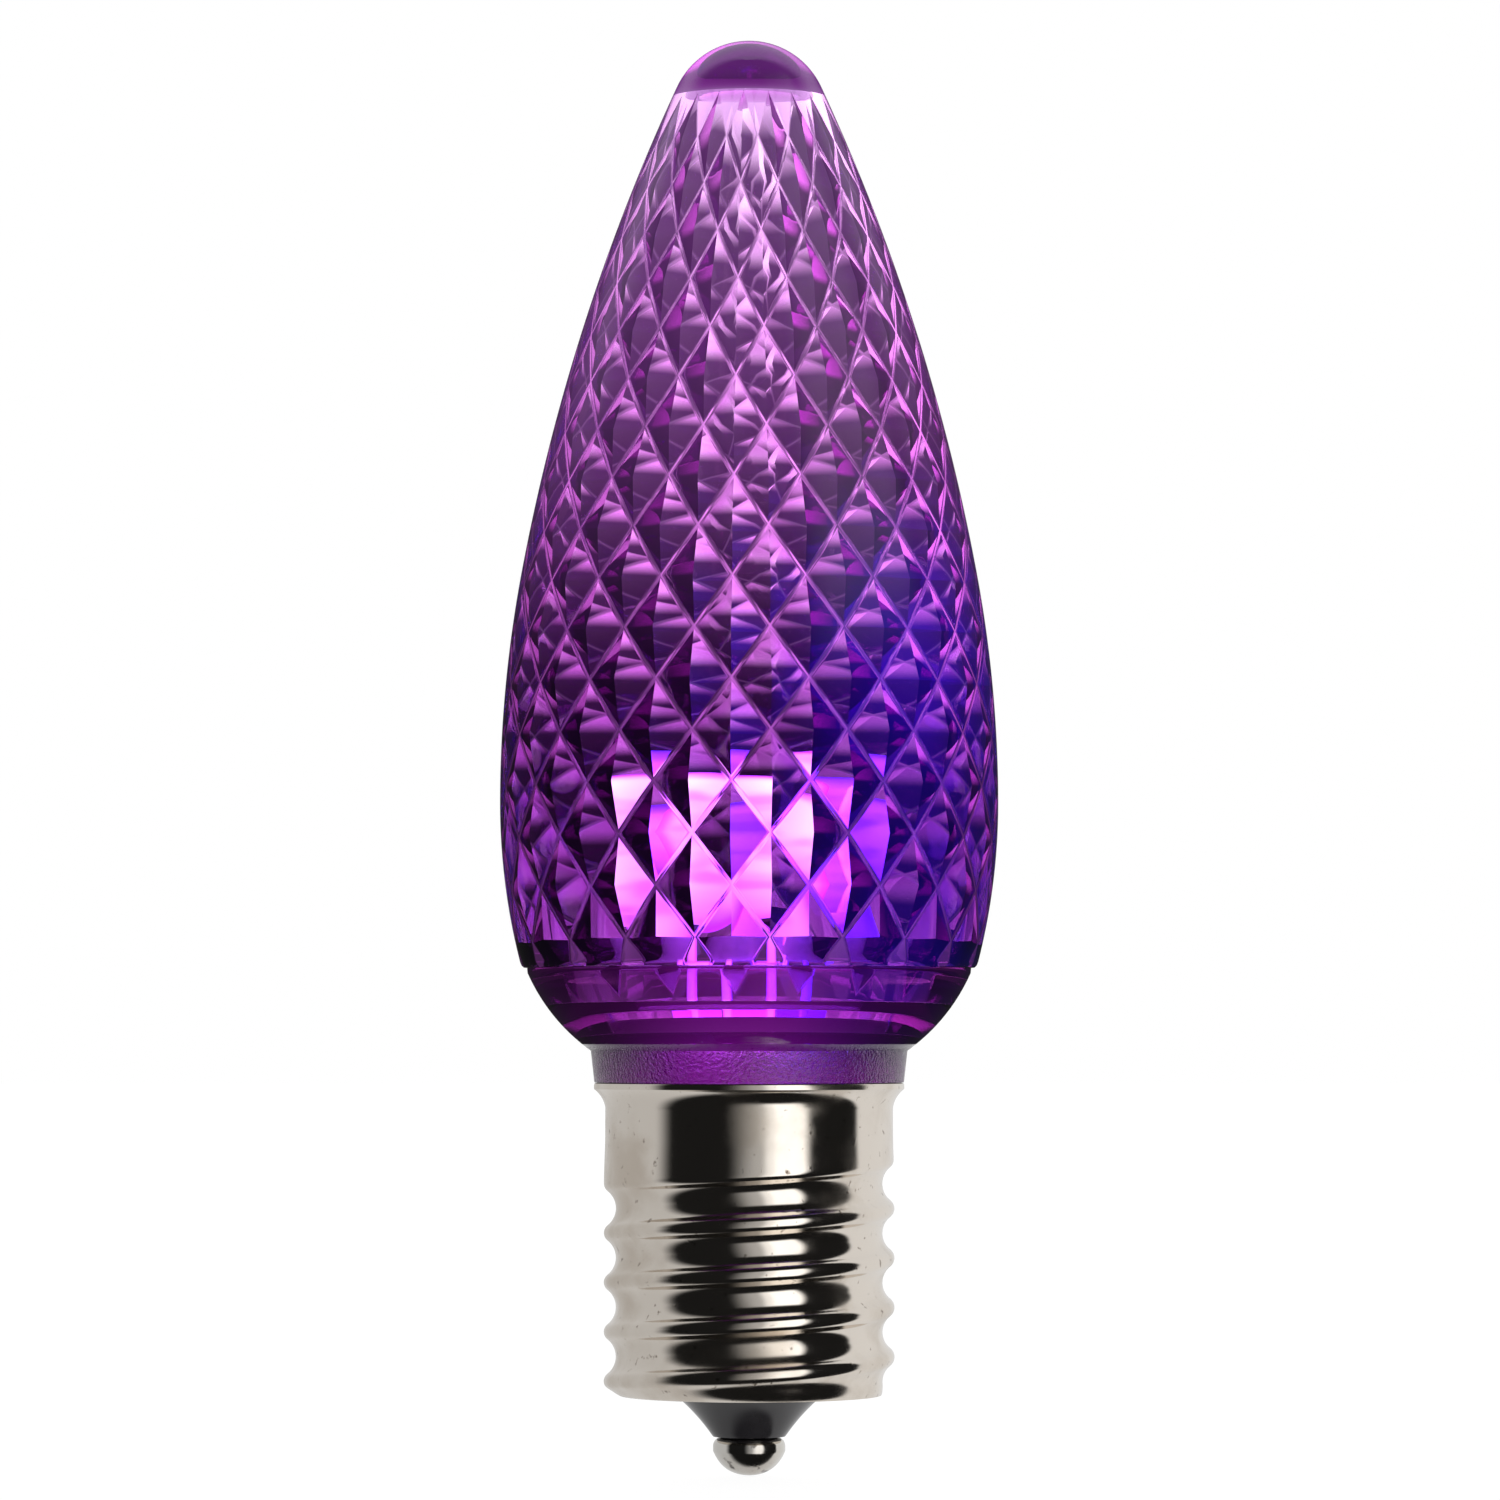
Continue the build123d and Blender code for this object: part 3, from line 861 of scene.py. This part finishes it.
    def one_side(self, pits: np.ndarray, ridges: np.ndarray) -> Surface:
        """The facet on one side of every pit.

        A facet's point is the pit's deepest point plus a share of the way to its ridge. Near the ridge
        the slope eases to nothing, as a parabola, so that each ridge of the net has a rounded top.

        Args:
            pits: Deepest point of each pit, one row a ring.
            ridges: Both ends of each pit's ridge on that side.

        Returns:
            The facets.
        """
        lift = np.linspace(0, 1, self.ridge_steps) ** 2
        shares = 1 - self.ridge_share * np.linspace(1, 0, self.ridge_steps)
        tips = pits[:, :, None, None, :]
        strip = tips + shares[None, None, :, None, None] * (ridges[:, :, None] - tips)
        spread = np.hypot(strip[..., 0], strip[..., 1])
        eased = 1 + self.easing(spread) * lift[None, None, :, None] / spread
        strip = np.concatenate([strip[..., :2] * eased[..., None], strip[..., 2:]], axis=-1)
        count = pits.shape[0] * pits.shape[1]
        corners = np.concatenate([tips.reshape(count, 1, 3), strip.reshape(count, -1, 3)], axis=1)
        base = corners.shape[1] * np.arange(count)[:, None]
        flat = base + np.array([[0, 1, 2]])
        bands = [base + 2 * step + np.array([[1, 3, 4, 2]]) for step in range(self.ridge_steps - 1)]
        ridge = np.tile(np.concatenate([[0.0], np.repeat(lift, 2)]), count)
        return Surface(corners.reshape(-1, 3), [flat, *bands], [True] * self.ridge_steps, ridge)

    def net_ends(self, nodes: np.ndarray) -> Surface:
        """Plain triangles at both ends of the net and the disc that closes its top.

        Args:
            nodes: Crossings of the ridges, one row a ring.

        Returns:
            The triangles and the disc.
        """
        number = np.arange(self.columns)
        after = (number + 1) % self.columns
        top = self.rows * self.columns
        low = np.column_stack([number, after, self.columns + number])
        high = np.column_stack([top + number, top + after, top - self.columns + number])
        disc = (top + number)[None, :]
        return Surface(nodes.reshape(-1, 3), [low, high, disc], [True] * 3, np.ones(nodes.size // 3))

    def mouth(self, foot: np.ndarray) -> Surface:
        """Prism wall under the net's lowest ring and the flat ring out to the spigot's round edge.

        Args:
            foot: Points of the lowest ring.

        Returns:
            The wall and the ring.
        """
        low = foot.copy()
        low[:, 2] = self.spigot_z
        number = np.arange(self.columns)
        after = (number + 1) % self.columns
        each = self.round_columns // self.columns
        rim = turned(np.array([self.spigot_radius]), np.array([self.spigot_z]), self.round_columns)
        start = round(math.radians(self.net_turn) / (2 * math.pi) * self.round_columns)
        steps = (start + number[:, None] * each + np.arange(each + 1)[None, :]) % self.round_columns
        wall = np.column_stack([number, after, self.columns + after, self.columns + number])
        floor = np.column_stack([2 * self.columns + steps, self.columns + after, self.columns + number])
        return Surface(np.vstack([foot, low, rim]), [wall, floor], [True, True])

    def build(self) -> Piece:
        """The lens as one closed skin: the smooth outside and the faceted inside."""
        skin = lathe(self.outline(), self.round_columns, False).joined(self.facets())
        return make_piece("faceted_lens_skin", skin, Slot.LENS, "faceted_lens")


@dataclass
class LensCollar(OnePiece):
    """Collar under the lens: clear cup, frosted neck and plug. Millimetres."""

    radius: float = 12.8
    bulge: float = 0.45
    seam_z: float = 29.0
    neck_radius: float = 8.88
    neck_z: float = 24.1
    flange_z: float = 22.4
    plug_radius: float = 7.9
    plug_bore: float = 7.0
    plug_z: float = 18.5
    board_z: float = 25.7
    board_radius: float = 9.25
    spigot_z: float = 27.17
    spigot_radius: float = 11.15
    gap: float = 0.02
    edge: float = 0.1
    corner: float = 0.06
    corner_steps: int = 4
    cup_rows: int = 28
    round_columns: int = 180
    finish: FrostedViolet = FrostedViolet("frosted_violet_collar")

    def build(self) -> Piece:
        """Closed ring: the cup's bowed outside, the neck, the plug and the stepped inside, turned round.

        Returns:
            The collar.
        """
        rim = (self.radius, self.seam_z - self.edge)
        waist = (self.neck_radius, self.neck_z)
        foot_z = self.flange_z + self.gap
        ledge_z = self.board_z - self.gap
        seat_z = self.seam_z - self.gap
        corners = [
            (self.neck_radius, foot_z),
            (self.plug_radius, foot_z),
            (self.plug_radius, self.plug_z),
            (self.plug_bore, self.plug_z),
            (self.plug_bore, ledge_z),
            (self.board_radius, ledge_z),
            (self.board_radius, self.spigot_z),
            (self.spigot_radius, self.spigot_z),
            (self.spigot_radius, seat_z),
            (self.radius - self.edge, seat_z),
            rim,
            waist,
        ]
        cup = bow(rim, waist, self.bulge, self.cup_rows)
        below = rounded(corners, self.corner, self.corner_steps)[: -2 * (self.corner_steps + 1)]
        ring = lathe(np.vstack([cup[1:-1], below]), self.round_columns, True)
        return make_piece("collar_skin", ring, Slot.COLLAR, "lens_collar")


@dataclass
class ScrewShell(OnePiece):
    """Screw shell of thin sheet: rolled rim, right-hand thread, skirt and flared flange. Millimetres."""

    crest_radius: float = 8.32
    root_radius: float = 7.635
    pitch: float = 2.822
    crest_arc: float = 0.55
    first_valley_z: float = 5.35
    full_turns: float = 4.0
    fade_turns: float = 0.5
    rim_z: float = 4.55
    rim_arc: float = 0.9
    rim_roll: float = 0.72
    skirt_radius: float = 8.25
    skirt_top_z: float = 21.0
    flange_radius: float = 8.9
    flange_z: float = 22.4
    flange_lip: float = 0.35
    flare_bulge: float = 0.12
    lip_edge: float = 0.12
    lip_ease: Span = (0.04, 0.03)
    sheet: float = 0.3
    bore_gap: float = 0.05
    floor_sheet: float = 0.45
    opening_radius: float = 4.25
    floor_rows: int = 5
    roll_rows: int = 14
    thread_rows: int = 190
    flare_rows: int = 14
    inside_rows: int = 110
    round_columns: int = 168
    finish: Plate = Plate("worn_nickel")

    def groove(self, away: np.ndarray) -> np.ndarray:
        """Depth of the thread: a wide valley arc that runs into a crest arc.

        Args:
            away: Distance from the valley's middle, along the axis.

        Returns:
            Depth below the crest.
        """
        depth = self.crest_radius - self.root_radius
        rise = 2 * math.atan2(depth, self.pitch / 2)
        valley_arc = self.pitch / 2 / math.sin(rise) - self.crest_arc
        valley = depth - valley_arc + np.sqrt(np.maximum(valley_arc**2 - away**2, 0))
        crest = self.crest_arc - np.sqrt(np.maximum(self.crest_arc**2 - (self.pitch / 2 - away) ** 2, 0))
        return np.where(away < valley_arc * math.sin(rise), valley, crest)

    def thread(self, heights: np.ndarray) -> np.ndarray:
        """Outer radius: the crest less a groove that climbs one pitch a turn and fades out.

        Args:
            heights: Height of each row.

        Returns:
            Radius at each height and turn.
        """
        turn = np.arange(self.round_columns)[None, :] / self.round_columns
        climb = (heights[:, None] - self.first_valley_z) / self.pitch
        travel = np.round(climb - turn) + turn
        held = np.clip((self.full_turns + self.fade_turns - travel) / self.fade_turns, 0, 1)
        fade = held * held * (3 - 2 * held)
        settled = np.clip(climb - self.full_turns, 0, 1)
        settle = settled * settled * (3 - 2 * settled) * (self.crest_radius - self.skirt_radius)
        return self.crest_radius - settle - fade * self.groove(np.abs(climb - travel) * self.pitch)

    def flange(self) -> np.ndarray:
        """Profile of the flange: the bowed flare, the eased lip and the top in to the bore.

        Returns:
            Array of radius and height, one row a point.
        """
        lip_z = self.flange_z - self.flange_lip
        skirt_top = (self.skirt_radius, self.skirt_top_z)
        flare = bow(skirt_top, (self.flange_radius, lip_z), self.flare_bulge, self.flare_rows)[1:]
        inward, down = self.lip_ease
        lip = [
            (self.flange_radius, self.flange_z - self.lip_edge),
            (self.flange_radius - inward, self.flange_z - down),
            (self.flange_radius - self.lip_edge, self.flange_z),
            (self.skirt_radius - self.sheet + self.bore_gap, self.flange_z),
        ]
        return np.vstack([flare, lip])

    def build(self) -> Piece:
        """Closed ring of sheet: under the floor, up the outside, over the flange and down the inside.

        Returns:
            The shell.
        """
        roll_top_z = self.rim_z + self.rim_roll
        roll_z = np.linspace(self.rim_z, roll_top_z, self.roll_rows)
        thread_z = np.linspace(roll_top_z, self.skirt_top_z, self.thread_rows)[1:]
        outside_z = np.concatenate([roll_z, thread_z])
        drop = self.rim_arc - np.sqrt(self.rim_arc**2 - np.maximum(roll_top_z - outside_z, 0) ** 2)
        outside = self.thread(outside_z) - drop[:, None]
        share = np.linspace(0, 1, self.floor_rows)[:-1, None]
        under = self.opening_radius + share * (outside[:1] - self.opening_radius)
        over = self.flange()
        floor_z = self.rim_z + self.floor_sheet
        inside_z = np.linspace(self.flange_z, floor_z, self.inside_rows)
        inside = np.minimum(self.thread(inside_z) - self.sheet, self.skirt_radius - self.sheet)
        floor = self.opening_radius + share[::-1] * (inside[-1:] - self.opening_radius)
        spread = np.vstack([under, outside, np.repeat(over[:, :1], self.round_columns, 1), inside, floor])
        flat_z = np.ones(len(share))
        rise = np.concatenate([self.rim_z * flat_z, outside_z, over[:, 1], inside_z, floor_z * flat_z])
        points = turned(spread, rise, self.round_columns)
        surface = Surface(points, [grid_faces(len(rise), self.round_columns, True)], [False])
        return make_piece("screw_shell_skin", surface, Slot.NICKEL, "screw_shell")


@dataclass
class CapEnd:
    """Black insulator with its cone, and the soldered dome of the centre contact. Millimetres."""

    cone_radius: float = 4.2
    cone_tip_radius: float = 2.15
    cone_bulge: float = 0.1
    cone_edge: float = 0.12
    tip_inset: float = 0.08
    disc_radius: float = 6.5
    rim_z: float = 4.55
    floor_z: float = 5.02
    disc_z: float = 6.8
    contact_top_z: float = 2.2
    contact_radius: float = 2.07
    contact_shoulder: float = 0.5
    dome_height: float = 1.4
    dome_bulge: float = 0.42
    shank_radius: float = 1.0
    shank_top_z: float = 7.2
    gap: float = 0.02
    bore_gap: float = 0.05
    cone_rows: int = 20
    dome_rows: int = 28
    shoulder_rows: int = 8
    round_columns: int = 120
    black: Moulding = Moulding("black_insulator")
    solder: Plate = Plate(
        "soldered_dome",
        bright=(0.7, 0.68, 0.64),
        worn=(0.52, 0.48, 0.43),
        speck=(0.1, 0.09, 0.08),
        smooth=0.06,
        dull=0.17,
        scale=1500.0,
        cover=0.26,
        dents=0.4,
    )

    def build_insulator(self) -> Piece:
        """Closed ring: the cone's slightly hollow side, the neck in the shell's floor, the disc and the bore.

        Returns:
            The insulator.
        """
        cone_tip = (self.cone_tip_radius, self.contact_top_z + self.cone_edge)
        cone = bow(cone_tip, (self.cone_radius, self.rim_z), self.cone_bulge, self.cone_rows)
        bore = self.shank_radius + self.bore_gap
        foot_z = self.contact_top_z + self.gap
        rest = [
            (self.cone_radius, self.floor_z),
            (self.disc_radius, self.floor_z),
            (self.disc_radius, self.disc_z),
            (bore, self.disc_z),
            (bore, foot_z),
            (self.cone_tip_radius - self.tip_inset, foot_z),
        ]
        ring = lathe(np.vstack([cone, rest]), self.round_columns, True)
        return make_piece("insulator_skin", ring, Slot.INSULATOR, "base_insulator")

    def build_contact(self) -> Piece:
        """Dome and shank: a bowed dome from the lowest point, a rounded shoulder and the shank to its end.

        Returns:
            The contact.
        """
        top_z = self.contact_top_z - self.gap
        round_centre = (self.contact_radius - self.contact_shoulder, top_z - self.contact_shoulder)
        dome = bow((0, 0), (self.contact_radius, self.dome_height), -self.dome_bulge, self.dome_rows)
        shoulder = arc(round_centre, self.contact_shoulder, 0, math.pi / 2, self.shoulder_rows)
        shank = [(self.shank_radius, top_z), (self.shank_radius, self.shank_top_z), (0, self.shank_top_z)]
        skin = lathe(np.vstack([dome, shoulder, shank]), self.round_columns, False)
        return make_piece("contact_skin", skin, Slot.SOLDER, "centre_contact")

    def dress(self, insulator: Piece, contact: Piece, effects: Effects) -> None:
        """Gives the insulator its black plastic and the contact its solder."""
        put_on(insulator, self.black.material(effects))
        put_on(contact, self.solder.material(effects))


@dataclass
class LampBoard:
    """Board, lamps, rectifier, resistors and leads inside the bulb, which keep their CAD meshes."""

    pink: LitResin = LitResin("lit_pink_resin")
    blue: LitResin = LitResin("lit_blue_resin", (0.03, 0.0, 0.5), (0.25, 0.06, 1.0), 7.5)
    white: Moulding = Moulding("white_board", (0.8, 0.8, 0.78), (0.7, 0.7, 0.68), 0.35, 0.55)
    black: Moulding = Moulding("black_moulding", (0.02, 0.02, 0.022), (0.04, 0.04, 0.042), 0.4, 0.55)
    lacquer: Moulding = Moulding("resistor_lacquer", (0.3, 0.45, 0.55), (0.36, 0.52, 0.6), 0.3, 0.5)
    cover: Moulding = Moulding("lead_cover", (0.72, 0.7, 0.64), (0.62, 0.6, 0.55), 0.4, 0.6)
    tinned: Plate = Plate("tinned_wire", (0.7, 0.7, 0.7), (0.55, 0.55, 0.56))

    def dress(self, nodes: dict[str, Piece], effects: Effects) -> None:
        """Gives each CAD node inside the bulb its finish.

        Args:
            nodes: CAD nodes by name.
            effects: The shared node groups.
        """
        wearers = {
            self.pink: ("led_1", "led_4", "led_5"),
            self.blue: ("led_2", "led_3"),
            self.white: ("led_board",),
            self.black: ("bridge_rectifier",),
            self.lacquer: ("live_resistor", "neutral_resistor"),
            self.cover: ("live_lead",),
            self.tinned: ("neutral_lead",),
        }
        for finish, names in wearers.items():
            material = finish.material(effects)
            for name in names:
                put_on(nodes[name], material)


@dataclass
class Sky:
    """The world's sheet, a ray's way as X, Y and Z, its bearing, and its bearing to either side."""

    sheet: Sheet
    way: Sockets
    bearing: Socket
    away: Socket


@dataclass
class Studio:
    """Pale floor, surroundings that differ by kind of ray, and the camera.

    The camera sees white. Metal and frosted plastic mirror a pale tent with a dark opening towards the
    camera and a soft box on its right. Rays that were bent through the lens meet a dark back under a
    bright roof, and the sheen on the lens shows a nearly dark room. Lengths are in millimetres, bearings
    in degrees from the camera's side with plus to the right, and the other spans in parts of a unit way.
    """

    distance: float = 360.0
    eye_z: float = 25.0
    aim_z: float = 41.5
    aim_x: float = 0.05
    span: float = 86.2
    sensor: float = 36.0
    clip: Span = (10.0, 20000.0)
    floor_side: float = 6000.0
    floor_cells: int = 8
    floor_grey: float = 0.1
    floor_glow: float = 0.95
    floor_rough: float = 0.9
    dim_level: float = 0.012
    tent_levels: Span = (0.6, 0.85)
    tent_width: float = 0.9
    tent_turn: float = 0.2
    tent_flare: float = 0.18
    right_edge: Span = (0.15, 0.05)
    left_edge: Span = (0.28, -0.05)
    edge_width: float = 0.3
    box_foot: Span = (-0.7, -0.55)
    box_top: Span = (0.65, 0.5)
    box_left: Span = (8.0, 24.0)
    box_right: Span = (52.0, 43.0)
    box_level: float = 1.6
    streak_left: Span = (-18.0, 8.0)
    streak_right: Span = (20.0, 14.0)
    streak_level: float = 0.5
    wing_start: Span = (80.0, 100.0)
    wing_end: Span = (140.0, 165.0)
    wing_levels: Span = (0.07, 0.05)
    low_foot: Span = (-0.4, -0.1)
    low_share: float = 0.15
    roof_foot: Span = (0.0, 0.2)
    roof_start: Span = (60.0, 110.0)
    roof_crown: Span = (0.45, 0.8)
    roof_levels: Span = (2.5, 1.0)
    lean_width: float = 0.6
    lean: float = 0.35
    veil_left: Span = (25.0, 45.0)
    veil_right: Span = (100.0, 80.0)
    veil_foot: Span = (0.2, 0.4)
    veil_top: Span = (0.9, 0.7)
    veil_level: float = 0.4
    veil_roof: Span = (0.25, 0.6)
    veil_back: Span = (90.0, 130.0)
    veil_roof_level: float = 0.7
    veil_dim: float = 0.02

    def build_floor(self) -> None:
        """Flat grid at the bulb's lowest point, which mirrors and lenses don't see."""
        half = self.floor_side / 2
        count = self.floor_cells + 1
        side = np.linspace(-half, half, count) * MM
        across, along = np.meshgrid(side, side)
        points = np.stack([across, along, np.zeros_like(across)], axis=-1).reshape(-1, 3)
        cell = np.arange(self.floor_cells)
        corner = (cell[:, None] * count + cell[None, :]).reshape(-1)
        faces = np.column_stack([corner, corner + 1, corner + count + 1, corner + count])
        mesh = bpy.data.meshes.new("floor")
        mesh.from_pydata(points.tolist(), [], faces.tolist())
        floor = bpy.data.objects.new("floor", mesh)
        bpy.context.scene.collection.objects.link(floor)
        floor.visible_glossy = False
        floor.visible_transmission = False
        material = bpy.data.materials.new("pale_floor")
        material.use_nodes = True
        sheet = Sheet(material.node_tree)
        shader = sheet.add("ShaderNodeBsdfPrincipled", {"Roughness": self.floor_rough})
        sheet.put(shader, "Base Color", (self.floor_grey, self.floor_grey, self.floor_grey, 1))
        sheet.put(shader, "Emission Color", (1, 1, 1, 1))
        sheet.put(shader, "Emission Strength", self.floor_glow)
        sheet.put(sheet.add("ShaderNodeOutputMaterial"), "Surface", shader.outputs[0])
        mesh.materials.append(material)

    def mirrored(self, sky: Sky) -> Socket:
        """What metal and frosted plastic mirror: the tent, its opening, the soft box and a streak.

        Args:
            sky: The ray's way.

        Returns:
            The light's level.
        """
        sheet, way = sky.sheet, sky.way
        ahead = sheet.product(way["Y"], -1.0)
        flare = sheet.product(sheet.math("ABSOLUTE", way["Z"]), self.tent_flare)
        slant = sheet.total(ahead, sheet.product(way["X"], self.tent_turn), flare)
        side = sheet.ease(way["X"], -self.edge_width, self.edge_width)
        wall = sheet.between(side, sheet.ease(slant, *self.left_edge), sheet.ease(slant, *self.right_edge))
        pale = sheet.ease(way["X"], -self.tent_width, self.tent_width, *self.tent_levels)
        tent = sheet.product(wall, pale)
        level = sheet.window(way["Z"], self.box_foot, self.box_top)
        box = sheet.window(sky.bearing, self.box_left, self.box_right)
        streak = sheet.window(sky.bearing, self.streak_left, self.streak_right)
        lamps = sheet.total(sheet.product(box, self.box_level), sheet.product(streak, self.streak_level))
        return sheet.total(sheet.product(level, lamps), tent, self.dim_level)

    def bent(self, sky: Sky) -> Socket:
        """What shows through the lens: dim wings and back, a bright roof, and more light on the right.

        Args:
            sky: The ray's way.

        Returns:
            The light's level.
        """
        sheet, way, away = sky.sheet, sky.way, sky.away
        back = sheet.ease(away, *self.wing_end, *self.wing_levels)
        wings = sheet.product(sheet.ease(away, *self.wing_start), back)
        low = sheet.product(wings, sheet.ease(way["Z"], *self.low_foot, self.low_share, 1.0))
        rise = sheet.product(sheet.ease(away, *self.roof_start), sheet.ease(way["Z"], *self.roof_foot))
        high = sheet.product(rise, sheet.ease(way["Z"], *self.roof_crown, *self.roof_levels))
        uneven = sheet.ease(way["X"], -self.lean_width, self.lean_width, 1.0 - self.lean, 1.0 + self.lean)
        return sheet.total(sheet.product(sheet.math("MAXIMUM", low, high), uneven), self.dim_level)

    def sheen(self, sky: Sky) -> Socket:
        """What the smooth lens mirrors: a dim room with a faint high box on the right and a roof behind.

        Args:
            sky: The ray's way.

        Returns:
            The light's level.
        """
        sheet, way = sky.sheet, sky.way
        across = sheet.window(sky.bearing, self.veil_left, self.veil_right)
        upright = sheet.window(way["Z"], self.veil_foot, self.veil_top)
        roof = sheet.product(sheet.ease(way["Z"], *self.veil_roof), sheet.ease(sky.away, *self.veil_back))
        box = sheet.product(across, upright, self.veil_level)
        return sheet.total(box, sheet.product(roof, self.veil_roof_level), self.veil_dim)

    def build_light(self) -> None:
        """World light: white for the camera, and its own surroundings for each other kind of ray."""
        world = bpy.data.worlds.new("studio")
        world.use_nodes = True
        bpy.context.scene.world = world
        sheet = Sheet(world.node_tree)
        way = sheet.parts(sheet.add("ShaderNodeTexCoord").outputs["Generated"])
        turn = sheet.math("ARCTAN2", way["X"], sheet.product(way["Y"], -1.0))
        bearing = sheet.product(turn, math.degrees(1))
        sky = Sky(sheet, way, bearing, sheet.math("ABSOLUTE", bearing))
        ray = sheet.add("ShaderNodeLightPath").outputs
        level = sheet.between(ray[Ray.SHEEN.value], self.mirrored(sky), self.sheen(sky))
        level = sheet.between(ray[Ray.BENT.value], level, self.bent(sky))
        level = sheet.between(ray[Ray.CAMERA.value], level, 1.0)
        back = sheet.add("ShaderNodeBackground", {"Color": (1, 1, 1, 1), "Strength": level})
        sheet.put(sheet.add("ShaderNodeOutputWorld"), "Surface", back.outputs[0])

    def build_camera(self) -> None:
        """Camera at the photograph's height and distance, aimed at the middle of its frame."""
        data = bpy.data.cameras.new("camera")
        rise = self.aim_z - self.eye_z
        data.sensor_width = self.sensor
        data.lens = self.sensor * math.hypot(self.distance, rise) / self.span
        data.clip_start, data.clip_end = self.clip[0] * MM, self.clip[1] * MM
        camera = bpy.data.objects.new("camera", data)
        camera.location = (self.aim_x * MM, -self.distance * MM, self.eye_z * MM)
        camera.rotation_euler = (math.pi / 2 + math.atan(rise / self.distance), 0, 0)
        bpy.context.scene.collection.objects.link(camera)
        bpy.context.scene.camera = camera

    def build(self) -> None:
        """Floor, light, camera and plain colour handling."""
        self.build_floor()
        self.build_light()
        self.build_camera()
        view = bpy.context.scene.view_settings
        view.view_transform = "Standard"
        view.look = "None"


def main() -> None:
    """Builds the bulb from the lens down, dresses it and sets up the studio."""
    logging.basicConfig(level=logging.INFO, format="%(message)s")
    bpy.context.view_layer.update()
    effects = Effects()
    for part in (FacetedLens(), LensCollar(), ScrewShell()):
        part.dress(part.build(), effects)
    cap = CapEnd()
    cap.dress(cap.build_insulator(), cap.build_contact(), effects)
    LampBoard().dress(frame["nodes"], effects)
    Studio().build()


if __name__ == "__main__":
    main()
